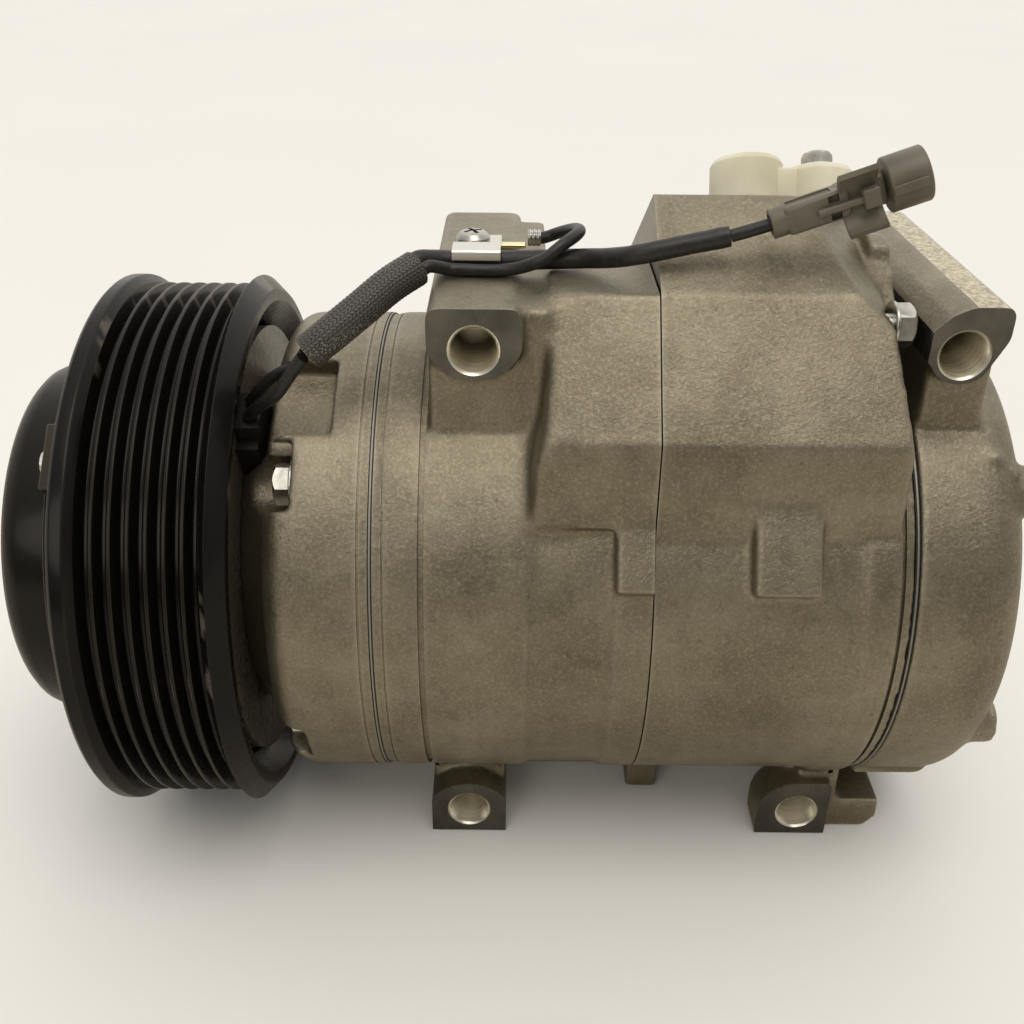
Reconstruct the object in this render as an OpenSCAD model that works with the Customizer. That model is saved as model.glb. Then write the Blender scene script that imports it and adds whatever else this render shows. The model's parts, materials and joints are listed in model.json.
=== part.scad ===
// Ten-cylinder swash-plate air-conditioning compressor with an electromagnetic clutch.
// X runs along the shaft from the clutch to the rear, Y runs along the mounting bores, Z is up.
// The origin is on the shaft axis, in the middle plane of the belt grooves.

/* [Body] */
// Radius of the machined cylinder-block body
body_r = 54.8; // [54.4:0.1:55.2]
// Radius of the five cylinder bores
bore_r = 14.5; // [14.2:0.1:14.6]
// Radius of the circle the cylinder bores lie on
pitch_r = 35; // [34.8:0.1:35.2]
// Tilt of the swash plate
tilt = 21; // [18:0.5:21]
// Position of the middle of the swash plate along the shaft
swash_x = 99; // [98.8:0.1:99.2]

/* [Mounting] */
// Radius of the four mounting bores
mount_bore_r = 4.5; // [4:0.1:4.6]
// Height of the upper mounting bores above the shaft
mount_z = 62.8; // [62.6:0.1:63]
// Depth of the lower mounting bores below the shaft
mount_low = 57; // [56.8:0.1:57.2]
// Half of the distance between the machined ends of the mounting lugs
mount_half = 35; // [34.8:0.1:35.2]
// Position of the upper front bore along the shaft
mount_uf_x = 65; // [64.5:0.1:65.2]
// Position of the upper rear bore along the shaft
mount_ur_x = 159.8; // [159.6:0.1:160]
// Position of the lower front bore along the shaft
mount_lf_x = 62.8; // [62.6:0.1:63]
// Position of the lower rear bore along the shaft
mount_lr_x = 143.3; // [143.1:0.1:143.5]

/* [Pulley] */
// Number of belt grooves
grooves = 7; // [5:1:7]
// Distance between neighbouring belt grooves
groove_pitch = 3.56; // [3.4:0.02:3.6]
// Radius at the crest of the belt ribs
crest_r = 61.3; // [60.8:0.1:61.8]
// Radius of the two belt flanges
flange_r = 63.2; // [62.6:0.1:63.6]
// Depth of each belt groove
groove_depth = 2.9; // [2.4:0.1:3]

/* [Clutch] */
// Air gap between the armature plate and the pulley with the clutch released
air_gap = 0.5; // [0.35:0.05:0.65]
// Radius of the hub cover
cover_r = 41.8; // [41:0.1:42]

/* [Harness] */
// Radius of the black cable sheath
sheath_r = 2.1; // [1.9:0.1:2.1]
// Radius of the braided sleeve
braid_r = 3.8; // [3.5:0.1:3.9]
// Radius of one bare lead wire
wire_r = 1.35; // [1.1:0.05:1.35]

/* [Hidden] */
$fn = 64;

tiny = 0.01;
cast = [0.56, 0.52, 0.43];
dark_steel = [0.10, 0.10, 0.11];
steel = [0.62, 0.62, 0.62];
black = [0.05, 0.05, 0.05];
grey_plastic = [0.56, 0.53, 0.46];
nylon = [0.90, 0.88, 0.78];

// Stations along the shaft
seat_x = 14.6;                 // face the field coil sits on
neck_x = 21.7;                 // front shoulder of the front housing
bolt_seat = 28;                // faces the through-bolt heads sit on
gasket_t = 0.25;
reed_t = 0.35;
plate_t = 1.4;
seam_t = 2 * gasket_t + reed_t;  // gasket, suction reeds and gasket, seen between the castings
nest_t = plate_t + reed_t;       // valve plate and discharge reeds, sunk in each cover
nest_r = 52.4;
front_end = 43.85;             // rear face of the front housing
front_block_x = front_end + seam_t;
seam_x = swash_x + 2.4;
rear_block_end = 2 * swash_x - front_block_x;
rear_x = rear_block_end + seam_t;
rear_face = 178;
boss_end = 180.6;
foot_drop = 7;                 // feet below the lower mounting bores
foot_z = -mount_low - foot_drop;
lug_depth = 10;                // length of the lower rear lug along its bore

// Cylinders, bolts and coil leads round the shaft
lead_angle = 62;
cylinders = 5;
step = 360 / cylinders;
cylinder_0 = 8;
bolt_0 = cylinder_0 + step / 2;
bolt_circle = 47;
bolt_r = 2.9;

// Port tower
ridge_y = -5;
ridge_z = 86;
port_x = 123.2;
cap_bolt_x = 138.6;
tower_x = 147.2;               // rear end of the tower at the muffler bolt
muffler_bolt_at = [-26.4, 65.6];

// Swash plate and pistons
swash_r = 43.5;
swash_t = 8;
stroke_half = pitch_r * tan(tilt);
piston_half = swash_x - front_block_x - stroke_half - 0.1;
sweep_r = swash_r + 0.8;
shoe_reach = 41.5;
flat_half = shoe_reach * tan(tilt) + swash_t / 2 / cos(tilt) + 0.2;
slot_half = flat_half + 1.4;
shoe_r = 7;
shoe_h = 4.9;
chamber_half = slot_half + 1;
piston_r = bore_r - 0.1;
swash_boss = 14.5;

// Shaft
shaft_r = 9;
nose_r = 17.4;
nose_bore = 13;
seal_front = -4;

// Clutch
bearing_front = -11;
bearing_rear = 9;
bearing_out = 27.5;
ball_circle = (nose_r + bearing_out) / 2;
ball_r = 3.2;
balls = 12;
pulley_front = -17;
friction_t = 4.6;
rim_in = 52.8;
groove_span = grooves * groove_pitch;
armature_t = 4;
armature_r = 55;
armature_front = pulley_front - air_gap - armature_t;
hub_front = -28.6;
cover_front = -36.6;

// Harness, with points in X, Y, Z
sleeve_end = [52.9, -16.8, 73.4];
sheath_end = [114.6, -22, 81.9];
connector_mouth = [122.3, -22, 84.3];
connector_tilt = 20;
clip_screw_at = [63.7, 4.1];
lug_top = 71.2;

// A solid of revolution about the shaft, from x0 to x1
module rod(x0, x1, r) {
    translate([x0, 0, 0]) rotate([0, 90, 0]) cylinder(r = r, h = x1 - x0);
}

// A ring about the shaft
module ring(x0, x1, r_out, r_in) {
    difference() {
        rod(x0, x1, r_out);
        rod(x0 - 1, x1 + 1, r_in);
    }
}

// Turns children about the shaft by an angle from -Y towards +Z
module round_shaft(angle, r) {
    rotate([-angle, 0, 0]) translate([0, -r, 0]) children();
}

// An outline in Y and Z, extruded along X
module across(x0, x1) {
    translate([x0, 0, 0]) rotate([90, 0, 90]) linear_extrude(x1 - x0) children();
}

// An outline in X and Z, extruded along Y
module along_y(y0, y1) {
    translate([0, y1, 0]) rotate([90, 0, 0]) linear_extrude(y1 - y0) children();
}

// The five through-bolt holes
module bolt_holes(x0, x1, r) {
    for (i = [0:cylinders - 1]) round_shaft(bolt_0 + i * step, bolt_circle) rod(x0, x1, r);
}

// A mounting bore along Y
module mount_bore(x, z) {
    translate([x, mount_half + 1, z]) rotate([90, 0, 0]) cylinder(r = mount_bore_r, h = 2 * mount_half + 2);
}

// Points of an arc about a centre, from angle a to angle b
function arc(c, r, a, b) = [for (k = [0:6]) c + r * [cos(a + (b - a) * k / 6), sin(a + (b - a) * k / 6)]];

// A rectangle with its four corners rounded
module soft_square(x0, y0, x1, y1, r) {
    polygon(concat(arc([x1 - r, y1 - r], r, 0, 90), arc([x0 + r, y1 - r], r, 90, 180),
        arc([x0 + r, y0 + r], r, 180, 270), arc([x1 - r, y0 + r], r, 270, 360)));
}

module front_housing() color(cast) difference() {
    rotate([0, 90, 0]) rotate_extrude() polygon(concat(
        [[0, bearing_front - 4], [nose_r - 0.1, bearing_front - 4], [nose_r - 0.1, seat_x - 4.6],
            [33, seat_x - 4.6], [33, seat_x], [38, seat_x], [46, neck_x]],
        arc([body_r - 6, neck_x + 6], 6, -90, 0), [[body_r, front_end], [0, front_end]]));
    rod(bearing_front - 9, seat_x, nose_bore);
    rod(seat_x - 1, front_end + 1, shaft_r + 2);
    rod(front_end - nest_t, front_end + 1, nest_r);
    difference() {
        rod(front_end - 15, front_end, 41);
        rod(front_end - 16, front_end + 1, shaft_r + 6);
        ring(front_end - 16, front_end + 1, 29, 26);
    }
    bolt_holes(0, front_end + 1, bolt_r + 0.3);
    for (i = [0:cylinders - 1])
        round_shaft(bolt_0 + i * step, bolt_circle) bolt_notch();
    ring(bearing_front - 1.6, bearing_front - 0.4, nose_r + 2, nose_r - 1);
    ring(seat_x - 3.95, seat_x - 2.35, 34, 31.5);
    lead_pocket();
}

// The spot face that a through-bolt head sits in, open to the outside
module bolt_notch() {
    rod(neck_x - 8, bolt_seat, 6);
    translate([neck_x - 8, -14, -7.4]) cube([bolt_seat - neck_x + 8, 14, 14.8]);
}

// Recesses for the coil terminal and for the leads that leave it
module lead_pocket() {
    rotate([-lead_angle, 0, 0]) {
        translate([neck_x - 1, -60, -8.2]) cube([14.8, 12, 20]);
        translate([seat_x - 1, -50.8, -7.2]) cube([6.9, 14, 14.4]);
    }
}

// Bores, chamber and shaft tunnel of the two cylinder blocks
module block_cavity() {
    for (i = [0:cylinders - 1])
        round_shaft(cylinder_0 + i * step, pitch_r)
            rod(front_block_x - 1, rear_block_end + 1, bore_r);
    rod(swash_x - chamber_half, swash_x + chamber_half, sweep_r);
    rod(front_block_x - 1, rear_block_end + 1, shaft_r + 1.2);
    for (s = [-1, 1])
        translate([swash_x, 0, 0]) mirror([s < 0 ? 1 : 0, 0, 0]) {
            rod(swash_boss, 40, 16.5);
            rod(swash_boss, swash_boss + 30, 13);
        }
    bolt_holes(front_block_x - 1, rear_block_end + 1, bolt_r + 0.4);
}

// Upper front lug seen along the mounting bore: flat top and a round lower side
module upper_front_outline() {
    polygon(concat(arc([mount_uf_x - 7.2, lug_top - 2], 2, 180, 90),
        arc([mount_uf_x + 7.4, lug_top - 2], 2, 90, 0),
        arc([mount_uf_x + 0.1, mount_z + 4.1], 10.4, -27, -153)));
}

// Lower front lug seen along the mounting bore: round top and a flat foot
module lower_front_outline() {
    translate([mount_lf_x, -mount_low])
        polygon(concat(arc([0, -2.9], 11.06, 35, 145), [[-9.06, -foot_drop], [9.06, -foot_drop]]));
}

// Lower rear lug seen along the mounting bore: round at the upper left, flat foot
module lower_rear_outline() {
    translate([mount_lr_x, -mount_low])
        polygon(concat([[7.6, -foot_drop], [7.6, 9.2]], arc([-0.4, -0.2], 9.4, 90, 180),
            [[-9.8, 1 - foot_drop], [-8.8, -foot_drop]]));
}

// Cross-section of the muffler on the front block
module low_muffler() {
    polygon([[-47.3, 20], [-47.2, 28.5], [-46.6, 48.2], [-28, 72], [2, 72], [30, 52], [30, 20]]);
}

// Cross-section of the port tower on the rear block
module tower_section() {
    polygon([[-47.3, 20], [-47.2, 28.5], [-46.6, 48.2], [-28, 72], [ridge_y, ridge_z],
        [34, 63.5], [34, 20]]);
}

// Outline of the flange behind the tower, with the wavy upper edge left by the casting
module tower_flange() {
    polygon([[-30, 50], [-22, 66], [-17, 70.4], [-15, 73], [-12.4, 73.8], [-10.8, 77.2], [-6, 78.4],
        [3, 76], [26, 62], [26, 40], [-30, 40]]);
}

module front_cylinder_block() color(cast) difference() {
    union() {
        rod(front_block_x, seam_x - tiny, body_r);
        along_y(-mount_half, mount_half) upper_front_outline();
        translate([mount_uf_x - 9, -32.6, 20]) cube([23.8, 63, lug_top - 20.7]);
        intersection() {
            across(70, seam_x - tiny) low_muffler();
            along_y(-60, 40) polygon([[79.6, 80], [79.4, 60], [78.6, 50], [76.6, 42], [76.3, 10],
                [110, 10], [110, 80]]);
        }
        along_y(-mount_half, mount_half) lower_front_outline();
        translate([mount_lf_x - 8.8, -28, -58]) cube([17.6, 56, 20]);
        pad(93.5, seam_x - tiny, 28.5, 17.5, 1.6);
    }
    block_cavity();
    rod(seam_x - tiny, 200, 70);
    mount_bore(mount_uf_x, mount_z);
    mount_bore(mount_lf_x, -mount_low);
    ring(front_block_x - 1, 46.9, body_r + 1, body_r - 0.45);
    ring(53.9, 55.1, body_r + 1, body_r - 0.9);
    step_band(76, 93.6);
    ring(seam_x - 1, seam_x + 1, 53.7, 52.1);
    muffler_hollow(86, seam_x + 1, 62);
    clip_screw_hole();
}

// A band turned down a little on the near side of the body, below the muffler
module step_band(x0, x1) {
    intersection() {
        ring(x0, x1, body_r + 1, body_r - 1);
        translate([x0 - 1, -60, -45]) cube([x1 - x0 + 2, 30, 75]);
    }
}

// A raised cast pad on the body, centred at an angle above the near side
module pad(x0, x1, angle, width, height) {
    rotate([-angle, 0, 0]) translate([x0, -body_r - height, -width / 2])
        cube([x1 - x0, 12, width]);
}

// The hollow of the muffler above the cylinders
module muffler_hollow(x0, x1, top) {
    across(x0, x1) polygon([[-36, 51.5], [-24, top], [-2, top], [12, top - 5], [12, 54.6], [-20, 54.6]]);
}

// Rear end of the tower: a drafted end face, and a bevel that leans over its upper corner
module tower_end() {
    translate([tower_x, 0, 66]) rotate([0, -8, 0]) translate([0, -60, -80]) cube([20, 120, 120]);
    translate([138, -12.3, 78.4]) rotate([0, 37.4, -21.7]) translate([-60, -60, 0]) cube([120, 120, 40]);
}

// Ports plane of the tower: local Z is the outward normal, local X runs along the shaft
module on_port_plane(x, down) {
    translate([x, ridge_y, ridge_z]) rotate([-30, 0, 0]) translate([0, down, 0]) children();
}

module rear_cylinder_block() color(cast) difference() {
    union() {
        rod(seam_x, rear_block_end, body_r);
        difference() {
            across(seam_x, 150.2) tower_section();
            tower_end();
        }
        across(145.8, 150.4) tower_flange();
        along_y(-mount_half, lug_depth - mount_half) lower_rear_outline();
        along_y(-32, 30) soft_square(143.4, foot_z, 164, -40, 3);
        pad(120.6, 134, 28.5, 18, 3.6);
        rear_band();
        translate([seam_x + 1.4, -20, -63.5]) cube([8, 30, 20]);
    }
    block_cavity();
    rod(0, seam_x, 70);
    mount_bore(mount_lr_x, -mount_low);
    translate([rear_block_end, -60, -56]) cube([30, 120, 120]);
    ring(150.5, 151.3, body_r + 1, body_r - 0.7);
    muffler_hollow(seam_x - 1, 135, 70);
    on_port_plane(port_x, 14) translate([0, 0, -18]) cylinder(r = 6, h = 20);
    on_port_plane(port_x, 31) translate([0, 0, -14]) cylinder(r = 5, h = 20);
    on_port_plane(cap_bolt_x, 14) translate([0, 0, -12]) cylinder(r = 3, h = 20);
    muffler_bolt_place() {
        rod(137, 148, 2.6);
        rod(tower_x - 0.1, 156, 5.4);
    }
}

// The raised band round the near side of the body, beside the rear joint
module rear_band() {
    intersection() {
        rod(143.7, 150.3, body_r + 0.8);
        translate([140, -60, -60]) cube([14, 62, 88.3]);
    }
}

module muffler_bolt_place() {
    translate([0, muffler_bolt_at[0], muffler_bolt_at[1]]) children();
}

// Upper rear ear seen along the mounting bore
module upper_rear_outline() {
    polygon(concat(arc([mount_ur_x, mount_z + 0.6], 6.8, 180, 310),
        [[mount_ur_x + 8.2, 66], [mount_ur_x + 8.2, 71], [mount_ur_x + 7.2, 72.4],
            [mount_ur_x + 0.2, 72.4], [mount_ur_x - 3.6, 70.7], [mount_ur_x - 6.7, 67.6]]));
}

module rear_housing() color(cast) difference() {
    union() {
        rotate([0, 90, 0]) rotate_extrude() polygon(concat([[0, rear_x], [body_r, rear_x]],
            arc([body_r - 10, rear_face - 10], 10, 0, 90), [[0, rear_face]]));
        for (i = [0:cylinders - 1])
            round_shaft(bolt_0 + i * step, bolt_circle - 0.6) rod(165, boss_end, 5.4);
        along_y(-mount_half, mount_half) upper_rear_outline();
        translate([rear_x + 0.6, -31, 38]) cube([13, 60, 22]);
        rod(170, rear_face + 1.4, 10);
    }
    mount_bore(mount_ur_x, mount_z);
    rod(rear_x - 1, rear_x + nest_t, nest_r);
    rod(rear_x - 1, rear_x + 15, 24);
    ring(rear_x - 1, rear_x + 13, 41, 29);
    bolt_holes(rear_x - 1, boss_end - 3, bolt_r - 0.05);
    relief_place() rod(rear_face - 7, rear_face + 5, 4);
}

module relief_place() {
    translate([0, 20, -24]) children();
}

// One disc of a valve stack with its ports and bolt holes; front and rear are mirror images
module stack_disc(offset, thick, port_r, r) {
    for (s = [0, 1]) translate([swash_x, 0, 0]) mirror([s, 0, 0]) difference() {
        rod(swash_x - front_block_x + offset, swash_x - front_block_x + offset + thick, r);
        translate([-swash_x, 0, 0]) bolt_holes(swash_x + 20, swash_x + 80, bolt_r + 0.4);
        rod(20, 80, shaft_r + 2);
        for (i = [0:cylinders - 1]) for (k = [-1, 1])
            round_shaft(cylinder_0 + i * step + 12 * k, pitch_r) rod(20, 80, port_r);
    }
}

module gaskets() color(black) {
    stack_disc(0, gasket_t, 5, body_r - 0.3);
    stack_disc(gasket_t + reed_t, gasket_t, 5, body_r - 0.3);
}
module suction_reeds() color(steel) stack_disc(gasket_t, reed_t, 1.4, body_r - 0.1);
module valve_plates() color(steel) stack_disc(seam_t, plate_t, 2.6, nest_r - 0.1);
module discharge_reeds() color(steel) stack_disc(seam_t + plate_t, reed_t, 1.2, nest_r - 0.4);

module block_seal_ring() color(black)
    ring(seam_x - 0.9, seam_x - 0.1, 53.6, 52.2);

module through_bolts() color(steel)
    for (i = [0:cylinders - 1]) round_shaft(bolt_0 + i * step, bolt_circle) {
        rod(bolt_seat - 1, boss_end - 4, bolt_r - 0.1);
        rod(bolt_seat - 0.8, bolt_seat - 0.05, 5.4);
        translate([bolt_seat - 4.3, 0, 0]) rotate([0, 90, 0]) cylinder(r = 4.6, h = 3.6, $fn = 6);
    }

module shaft_seal() color(black) difference() {
    ring(seal_front, seal_front + 9, nose_bore - 0.02, shaft_r + 0.06);
    ring(seal_front + 3, seal_front + 12, nose_bore - 1.6, shaft_r + 1.2);
}

module seal_snap_ring() color(steel)
    ring(seal_front - 1.3, seal_front - 0.1, nose_bore - 0.02, nose_bore - 2);

// The radial bearings sit in the shaft tunnels of the two blocks
module radial_bearing_shells() color(steel)
    for (s = [0, 1]) translate([swash_x, 0, 0]) mirror([s, 0, 0])
        ring(25, 41, 12.95, 11.9);

module radial_bearing_rollers() color(steel)
    for (s = [0, 1]) translate([swash_x, 0, 0]) mirror([s, 0, 0]) {
        for (i = [0:11]) round_shaft(i * 30, 10.45) rod(25.6, 40.4, 1.3);
        ring(25.2, 26, 11.6, 9.4);
        ring(40, 40.8, 11.6, 9.4);
    }

module thrust_stack(x, thick, r_out, r_in) {
    for (s = [0, 1]) translate([swash_x, 0, 0]) mirror([s, 0, 0])
        ring(x, x + thick, r_out, r_in);
}

module thrust_races_turning() color(steel) thrust_stack(swash_boss + 0.05, 1, 16, 9.4);
module thrust_races_fixed() color(steel) thrust_stack(swash_boss + 3.15, 1, 16, 9.6);

module thrust_needle_cages() color(steel)
    for (s = [0, 1]) translate([swash_x, 0, 0]) mirror([s, 0, 0]) {
        ring(swash_boss + 1.6, swash_boss + 2.6, 15.8, 14.8);
        ring(swash_boss + 1.6, swash_boss + 2.6, 10.8, 9.8);
        for (i = [0:15]) round_shaft(i * 22.5, 10.6)
            translate([swash_boss + 2.1, 0.2, 0]) rotate([90, 0, 0]) cylinder(r = 0.95, h = 4.6);
    }

// Magnet coil in its steel shell, seated on the front housing
coil_in = 37.6;
coil_out = 51.4;
coil_front = -9.6;
module coil_housing() color(dark_steel) difference() {
    union() {
        ring(coil_front, seat_x - 0.1, coil_out, coil_in - 2.2);
        ring(seat_x - 2.3, seat_x - 0.1, coil_in, 33.05);
    }
    ring(coil_front - 1, seat_x - 2.3, coil_out - 2.2, coil_in);
    terminal_window();
}
module terminal_window() {
    rotate([-lead_angle, 0, 0]) translate([0, -46.2, -7]) cube([30, 8.2, 14]);
}
module field_coil() color([0.35, 0.17, 0.08])
    ring(coil_front + 1.2, seat_x - 4, coil_out - 2.4, coil_in + 0.2);

module coil_snap_ring() color(steel) ring(seat_x - 3.9, seat_x - 2.4, 35, 31.6);

module coil_terminal_block() color(black) rotate([-lead_angle, 0, 0]) {
    translate([seat_x - 3.4, -46, -6.8]) cube([8, 7.8, 13.6]);
    translate([seat_x + 0.4, -50.6, -4.6]) cube([4.8, 6, 9.2]);
}

// One end of a link of a cable: a ball at a bend, or a flat end at the first and last points
module bead(path, i, r) {
    last = len(path) - 1;
    d = i == 0 ? path[1] - path[0] : path[last] - path[last - 1];
    translate(path[i])
        if (i > 0 && i < last) sphere(r, $fn = 16);
        else rotate([0, acos(d[2] / norm(d)), atan2(d[1], d[0])])
            cylinder(r = r, h = 0.1, $fn = 16, center = true);
}

// Straight round links through a list of points
module cable(path, r) {
    for (i = [0:len(path) - 2]) hull() {
        bead(path, i, r);
        bead(path, i + 1, r);
    }
}

// A point on the near side of the coil terminal, at an angle, radius and station
function by_angle(x, angle, r) = [x, -r * cos(angle), r * sin(angle)];

// The two leads from the coil to the sleeve, and the lead from the sheath to the connector
module coil_leads() color(black) {
    for (k = [-1, 1]) cable([by_angle(17.4, lead_angle + 2.2 * k, 51.6),
        by_angle(21.2, lead_angle + 2.6 * k, 56), by_angle(25, lead_angle + 2.6 * k, 59.6),
        [28.6, -29.4 + 1.5 * k, 56.2], [31.2, -29.9 + 1.5 * k, 59.6]], wire_r);
    cable([sheath_end + [0.3, 0, 0.1], [118.6, -22, 83.1], connector_mouth + [-0.3, 0, -0.1]], wire_r);
}
module braided_sleeve() color(black)
    cable([[32, -30, 60.2], [36.6, -28.7, 63.6], [42.6, -25, 67.7], [47.8, -20.9, 71.1], sleeve_end],
        braid_r);
module cable_sheath() color(black)
    cable([[52, -15.4, 73.55], [53.4, -14.2, 74.3], [57.4, -12, 73.7], [61, -11.5, 73.4], [71, -11.5, 73.5],
        [86.1, -13.6, 74.7], [92, -18, 76.2], [97.4, -22, 78.2], [108.9, -22, 80.7], sheath_end], sheath_r);
module ground_wire() color(black)
    cable([[54.5, -18.3, 73.6], [55.7, -17.4, 74], [58.5, -15.8, 73.1], [61, -15.2, 72.7], [71, -15.2, 72.7],
        [78, -16.8, 75.1], [82.6, -15, 78], [86, -9, 78.8], [85.6, 0, 77], [82.4, 5.6, 74.6],
        [79, 6.6, 73.2], [75.6, 6.6, 73.2]], wire_r);

// The connector in its own frame: local X runs from the cable mouth to the cap
module on_connector() {
    translate(connector_mouth) rotate([0, -connector_tilt, 0]) children();
}
module connector_body() color(grey_plastic) on_connector() {
    translate([0, -3, -3]) cube([15, 6, 6]);
    translate([13, -5, -6.2]) cube([7.6, 4, 12.4]);
    translate([13, -3, -3]) cube([9, 6, 6]);
}
module connector_cap() color(grey_plastic)
    on_connector() translate([22.1, 0, 0]) rotate([0, 90, 0]) cylinder(r = 5.4, h = 8);
module ring_terminal() color([0.75, 0.62, 0.3]) difference() {
    union() {
        translate([clip_screw_at[0], clip_screw_at[1], lug_top + 0.05]) cylinder(r = 3.6, h = 0.9);
        translate([clip_screw_at[0] + 2.6, clip_screw_at[1], lug_top + 0.05]) cube([8.6, 3.2, 0.9]);
    }
    translate([clip_screw_at[0], clip_screw_at[1], lug_top - 1]) cylinder(r = 2.1, h = 4);
}
module crimp_sleeve() color(steel)
    translate([0, 6.6, 73.2]) ring(75.6, 78.6, wire_r + 0.55, wire_r + 0.1);

module clip_screw_hole() {
    translate([clip_screw_at[0], clip_screw_at[1], lug_top - 3.1]) cylinder(r = 2, h = 12);
}
// A bent strip that holds the sheath down on the lug
module harness_clip() color(steel) difference() {
    across(60, 69.9) polygon([[9, 72.3], [9, 73.1], [0.2, 73.1], [-8.3, 76.5], [-14.6, 76.5], [-14.6, 74.2],
        [-13.85, 74.2], [-13.85, 75.7], [-8.6, 75.7], [-0.2, 72.3]]);
    translate([clip_screw_at[0], clip_screw_at[1], 69]) cylinder(r = 2.1, h = 6);
}
module clip_screw() color(steel) translate([clip_screw_at[0], clip_screw_at[1], 0]) {
    translate([0, 0, lug_top - 3]) cylinder(r = 1.9, h = 5.4);
    translate([0, 0, 73.15]) cylinder(r = 3.8, h = 2.4);
}

module port_cap() color(nylon) difference() {
    union() {
        on_port_plane(port_x, 14) translate([0, 0, 0.05]) cylinder(r = 8, h = 11);
        on_port_plane(port_x, 31) translate([0, 0, 0.05]) cylinder(r = 7.4, h = 8);
        on_port_plane(port_x, 14) translate([-6, 0, 0.05]) cube([12, 17, 7]);
        on_port_plane(cap_bolt_x, 14) translate([0, 0, 0.05]) cylinder(r = 8, h = 9);
        on_port_plane(port_x, 14) translate([0, -5.5, 0.05]) cube([cap_bolt_x - port_x, 11, 8.4]);
    }
    on_port_plane(cap_bolt_x, 14) translate([0, 0, -1]) cylinder(r = 3.2, h = 14);
}
module port_cap_bolt() color(steel) on_port_plane(cap_bolt_x, 14) {
    translate([0, 0, -10]) cylinder(r = 2.9, h = 20);
    translate([0, 0, 9.1]) cylinder(r = 4.2, h = 1);
    translate([0, 0, 10]) cylinder(r = 3.4, h = 3, $fn = 6);
}
module muffler_bolt() color(steel) muffler_bolt_place() {
    rod(138, tower_x + 1, 2.5);
    rod(tower_x, tower_x + 0.8, 4.9);
    translate([tower_x + 0.7, 0, 0]) rotate([0, 90, 0]) cylinder(r = 4.5, h = 3.6, $fn = 6);
}
module relief_valve() color(steel) relief_place() {
    rod(rear_face - 6.6, rear_face + 1, 3.95);
    translate([rear_face + 0.1, 0, 0]) rotate([0, 90, 0]) cylinder(r = 6, h = 3.6, $fn = 6);
}

// Clutch bearing, with its inner ring on the nose and its outer ring in the pulley
module ball_track() {
    rotate([0, 90, 0]) rotate_extrude() translate([ball_circle, (bearing_front + bearing_rear) / 2])
        circle(ball_r + 0.05);
}
module bearing_inner_ring() color(steel) difference() {
    ring(bearing_front, bearing_rear, ball_circle - 1.6, nose_r - 0.05);
    ball_track();
}
module bearing_outer_ring() color(steel) difference() {
    ring(bearing_front, bearing_rear, bearing_out, ball_circle + 1.6);
    ball_track();
}
module bearing_balls() color(steel)
    for (i = [0:balls - 1]) round_shaft(i * 360 / balls, ball_circle)
        translate([(bearing_front + bearing_rear) / 2, 0, 0]) sphere(ball_r);
module bearing_cage() color([0.7, 0.6, 0.35]) difference() {
    ring(bearing_front + 6.4, bearing_rear - 6.4, ball_circle + 1.1, ball_circle - 1.1);
    for (i = [0:balls - 1]) round_shaft(i * 360 / balls, ball_circle + 4)
        translate([(bearing_front + bearing_rear) / 2, 0, 0]) rotate([-90, 0, 0])
            cylinder(r = ball_r + 0.05, h = 8);
}
module bearing_snap_ring() color(steel)
    ring(bearing_front - 1.5, bearing_front - 0.5, nose_r + 1.6, nose_r - 0.9);

module pulley() color(black) difference() {
    rotate([0, 90, 0]) rotate_extrude() pulley_section();
    for (i = [0:5]) for (k = [0:2])
        rotate([60 * i + 14 * k, 0, 0]) translate([pulley_front - 1, -1.6, 42])
            cube([friction_t + 2, 3.2, 2.4]);
}

// Half-section of the pulley, as radius and station
module pulley_section() {
    difference() {
        translate([rim_in, pulley_front]) square([flange_r - rim_in, 34]);
        for (k = [0:grooves - 1]) translate([crest_r, (k - (grooves - 1) / 2) * groove_pitch])
            polygon([[0.4, -1.5], [-groove_depth, -0.45], [-groove_depth, 0.45], [0.4, 1.5]]);
        translate([crest_r, -groove_span / 2]) square([10, groove_span]);
        translate([flange_r, pulley_front]) rotate(45) square(1.6, center = true);
        translate([flange_r, pulley_front + 34]) rotate(45) square(5, center = true);
        polygon([[rim_in - 1, 10.8], [rim_in, 10.8], [57.5, 17.1], [rim_in - 1, 17.1]]);
    }
    translate([bearing_out + 0.05, pulley_front]) square([rim_in - bearing_out + 0.1, friction_t]);
    translate([bearing_out + 0.05, pulley_front]) square([5.6, bearing_rear - pulley_front]);
}

module clutch_hub() color(dark_steel) difference() {
    union() {
        rod(hub_front, -14.6, 12.4);
        rod(hub_front, hub_front + 3, 24);
        ring(hub_front + 0.1, hub_front + 4.4, 24, 21);
    }
    rod(-40, 0, 7.5);
}
module hub_rubber() color(black) ring(hub_front + 0.4, hub_front + 4.4, 32.5, 24.02);
module hub_cover() color(black) difference() {
    union() {
        rotate([0, 90, 0]) rotate_extrude() polygon(concat([[0, armature_front - 1.2]],
            [[cover_r, armature_front - 1.2]], arc([cover_r - 4, cover_front + 4], 4, 0, -90),
            [[0, cover_front]]));
    }
    rod(hub_front - 3.6, 0, cover_r - 2);
}
module hub_nut() color(steel) difference() {
    translate([hub_front - 3.2, 0, 0]) rotate([0, 90, 0]) cylinder(r = 7, h = 3.15, $fn = 6);
    rod(-40, 0, 5);
}
module shaft() color(steel) {
    rod(hub_front - 3, hub_front + 1, 4.95);
    rod(hub_front + 0.5, -13, 7.45);
    rod(-14.4, swash_x + 41, shaft_r);
}
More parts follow.
